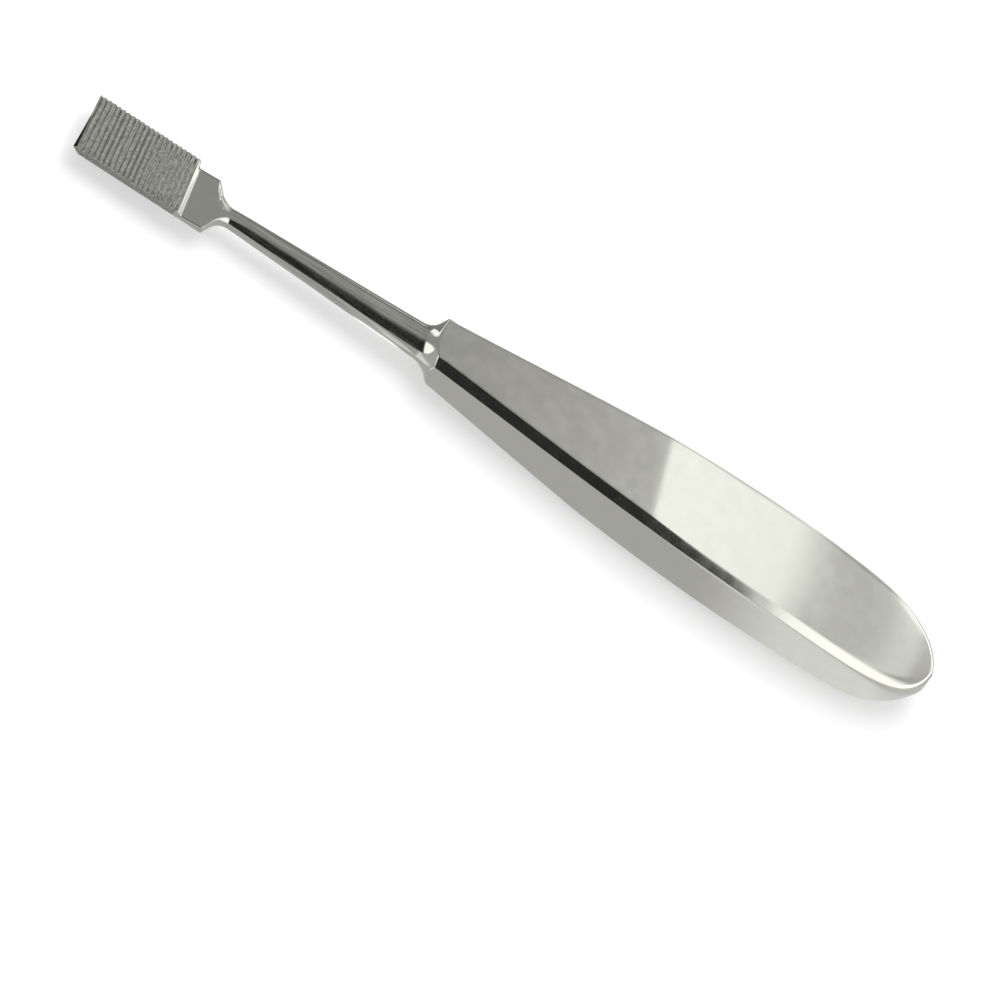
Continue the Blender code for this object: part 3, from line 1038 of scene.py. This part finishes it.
@dataclass
class Studio:
    """A pale floor, a soft lamp over the tool's far side, and a light tent that is open, so dark, on the near side."""

    floor_size: float = 12.0
    floor_gap: float = 0.00002
    floor_white: float = 0.30
    floor_glow: float = 0.52
    daylight: float = 1.0
    lamp_power: float = 10.5
    lamp_size: float = 0.7
    lamp_place: tuple[float, float, float] = (-0.20, 0.25, 0.95)

    def build(self) -> None:
        """Makes the floor, the lamp and the surroundings."""
        self.build_floor()
        self.build_lamp()
        self.build_surroundings()

    def build_floor(self) -> None:
        """A large plane just under the tool, matt to the eye, with its own brightness where the steel mirrors it."""
        half = self.floor_size / 2
        mesh = bpy.data.meshes.new("studio_floor")
        mesh.from_pydata([(-half, -half, 0), (half, -half, 0), (half, half, 0), (-half, half, 0)], [], [(0, 1, 2, 3)])
        floor = bpy.data.objects.new("studio_floor", mesh)
        floor.location = (0, 0, -self.floor_gap)
        bpy.context.scene.collection.objects.link(floor)
        material = bpy.data.materials.new("floor_white")
        material.use_nodes = True
        nodes = Nodes(material.node_tree)
        matt = material.node_tree.nodes["Principled BSDF"]
        matt.inputs["Base Color"].default_value = (self.floor_white, self.floor_white, self.floor_white, 1)
        matt.inputs["Roughness"].default_value = 1.0
        matt.inputs["Specular IOR Level"].default_value = 0.0
        matt.inputs["Emission Color"].default_value = (1, 1, 1, 1)
        matt.inputs["Emission Strength"].default_value = self.floor_glow
        glow = material.node_tree.nodes.new("ShaderNodeEmission")
        nodes.link(glow.inputs["Strength"], self.mirrored_floor(nodes))
        mix = material.node_tree.nodes.new("ShaderNodeMixShader")
        path = material.node_tree.nodes.new("ShaderNodeLightPath")
        nodes.link(mix.inputs["Fac"], path.outputs["Is Glossy Ray"])
        nodes.link(mix.inputs[1], matt.outputs["BSDF"])
        nodes.link(mix.inputs[2], glow.outputs["Emission"])
        nodes.link(material.node_tree.nodes["Material Output"].inputs["Surface"], mix.outputs["Shader"])
        floor.data.materials.append(material)

    def mirrored_floor(self, nodes: Nodes) -> Socket:
        """Brightness of the floor that the steel mirrors, by place in metres: shaded beside the tool and light away.

        Args:
            nodes: The floor material's nodes.

        Returns:
            The brightness.
        """
        x, y, _ = nodes.axes(nodes.place())
        # Near side, from the pad past the neck and the handle to the light floor by the butt.
        beside = nodes.ramp(x, -0.056, -0.047, nodes.ramp(x, -0.064, -0.060, 0.50, 0.54), 0.58)
        beside = nodes.ramp(x, 0.038, 0.060, beside, nodes.ramp(x, 0.074, 0.082, 1.0, 0.75))
        # Two light patches that the shoulder's fillet mirrors, one a little out and one right under it.
        flank = nodes.ramp(x, -0.0240, -0.0210, beside, nodes.ramp(x, -0.0175, -0.0165, 1.05, beside))
        flank = nodes.ramp(y, -0.0085, -0.0065, flank, beside)
        shoulder = nodes.ramp(x, -0.022, -0.018, nodes.ramp(x, -0.030, -0.026, 0.0, 1.0), 0.0)
        beside = nodes.ramp(shoulder, 0.0, 1.0, flank, nodes.ramp(y, -0.005, -0.002, flank, 1.7))
        # Far side, in the tool's own shade, with the light floor beyond it.
        behind = nodes.ramp(x, 0.026, 0.034, 0.30, nodes.ramp(x, 0.066, 0.070, 1.5, 0.5))
        behind = nodes.ramp(y, 0.022, 0.050, behind, nodes.ramp(x, -0.012, 0.008, 0.28, 1.5))
        return nodes.ramp(y, 0.003, 0.008, beside, behind)

    def build_lamp(self) -> None:
        """A wide soft lamp above the tool's far side, which the steel doesn't mirror."""
        lamp = bpy.data.lights.new("soft_lamp", "AREA")
        lamp.shape = "DISK"
        lamp.size = self.lamp_size
        lamp.energy = self.lamp_power
        holder = bpy.data.objects.new("soft_lamp", lamp)
        place = Vector(self.lamp_place)
        holder.location = place
        holder.rotation_euler = (-place).to_track_quat("-Z", "Y").to_euler()
        holder.visible_glossy = False
        bpy.context.scene.collection.objects.link(holder)

    def build_surroundings(self) -> None:
        """The surroundings: even daylight on what is matt, and the tent's walls where the steel mirrors them."""
        world = bpy.data.worlds.new("light_tent")
        bpy.context.scene.world = world
        world.use_nodes = True
        nodes = Nodes(world.node_tree)
        back = world.node_tree.nodes["Background"]
        path = world.node_tree.nodes.new("ShaderNodeLightPath")
        total = nodes.ramp(path.outputs["Is Glossy Ray"], 0.0, 1.0, self.daylight, self.mirrored_tent(nodes))
        nodes.link(back.inputs["Strength"], total)
        back.inputs["Color"].default_value = (1.0, 1.0, 1.0, 1.0)

    def mirrored_tent(self, nodes: Nodes) -> Socket:
        """Brightness of the tent's walls by direction: bright to the right, dimmer to the left, dark on the near side.

        x, y and z are the three parts of the direction, a vector of length 1.

        Args:
            nodes: The world's nodes.

        Returns:
            The brightness.
        """
        x, y, z = nodes.axes(nodes.place("Generated"))
        # The open side, whose edge the handle's near chamfer and the shank mirror.
        near = nodes.ramp(x, 0.374, 0.398, 0.025, 1.7)
        # The far wall: grey to the left, a bright strip that the handle's butt mirrors, and a light wall behind it.
        far = nodes.ramp(x, 0.235, 0.335, 0.39, 0.82)
        strip = nodes.ramp(x, 0.312, 0.328, far, nodes.ramp(x, 0.326, 0.352, 1.35, 1.62))
        rear = nodes.ramp(x, 0.52, 0.60, 0.74, nodes.ramp(y, 0.50, 0.56, 1.0, 1.6))
        far = nodes.ramp(x, 0.370, 0.450, strip, rear)
        # Its lower part, which the rounded far edges mirror, is dimmer.
        low = nodes.ramp(x, 0.285, 0.315, nodes.ramp(z, 0.05, 0.50, 0.50, 1.0), nodes.ramp(z, 0.30, 0.80, 0.45, 0.85))
        low = nodes.ramp(x, 0.382, 0.396, low, nodes.ramp(x, 0.42, 0.46, 1.0, 0.75))
        low = nodes.ramp(x, 0.54, 0.60, low, 1.0)
        far = nodes.maths("MULTIPLY", far, nodes.ramp(y, 0.54, 0.66, 1.0, low))
        # The right wall, brightest near the floor, which the step and the shoulder's fillet mirror.
        right = nodes.ramp(z, 0.10, 0.30, 2.6, nodes.ramp(y, 0.40, 0.50, 0.60, 0.78))
        far = nodes.ramp(x, 0.64, 0.72, far, right)
        seen = nodes.ramp(y, -0.50, 0.04, near, far)
        # The left wall, which the neck's and the shoulder's rounds mirror.
        left = nodes.ramp(y, 0.34, 0.50, 0.40, nodes.ramp(z, 0.40, 0.65, 1.6, 0.5))
        left = nodes.ramp(y, -0.42, -0.25, 1.6, left)
        return nodes.ramp(x, -0.36, -0.24, left, seen)


@dataclass
class PhotoCamera:
    """The camera at the photograph's place: a long lens that looks down on the near side, rolled with the picture.

    Turn, tilt and roll are in degrees, distance and aim in metres, and focal is the lens over the sensor's width.
    """

    turn: float = 20.5
    tilt: float = 30.0
    roll: float = 33.58
    distance: float = 1.0
    aim: tuple[float, float] = (0.00500, -0.01177)
    focal: float = 6.707

    def build(self) -> None:
        """Makes the camera and gives it to the scene, its right and up rolled about the way it looks."""
        turn, tilt, roll = math.radians(self.turn), math.radians(self.tilt), math.radians(self.roll)
        back = Vector((-math.sin(turn), -math.cos(turn) * math.sin(tilt), math.cos(turn) * math.cos(tilt)))
        level = (Vector((1, 0, 0)) - back * back.x).normalized()
        high = back.cross(level)
        right = level * math.cos(roll) + high * math.sin(roll)
        up = high * math.cos(roll) - level * math.sin(roll)
        lens = bpy.data.cameras.new("photo_camera")
        lens.sensor_width = 36.0
        lens.lens = self.focal * lens.sensor_width
        lens.clip_start = 0.01
        lens.clip_end = 50.0
        camera = bpy.data.objects.new("photo_camera", lens)
        place = Vector((*self.aim, 0.0)) + back * self.distance
        turned = Matrix((right, up, back)).transposed().to_4x4()
        camera.matrix_world = Matrix.Translation(place) @ turned
        bpy.context.scene.collection.objects.link(camera)
        bpy.context.scene.camera = camera


def main() -> None:
    """Builds the camera, the studio and the tool in turn."""
    logging.basicConfig(level=logging.INFO, format="%(message)s")
    scene = bpy.context.scene
    scene.view_settings.view_transform = "Standard"
    PhotoCamera().build()
    Studio().build()
    body = SetterBody()
    tool = body.build()
    body.dress(tool)
    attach(tool, "root")
    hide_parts("setter_body")
    LOG.info("%s: %d points, %d faces", tool.name, len(tool.data.vertices), len(tool.data.polygons))


if __name__ == "__main__":
    main()
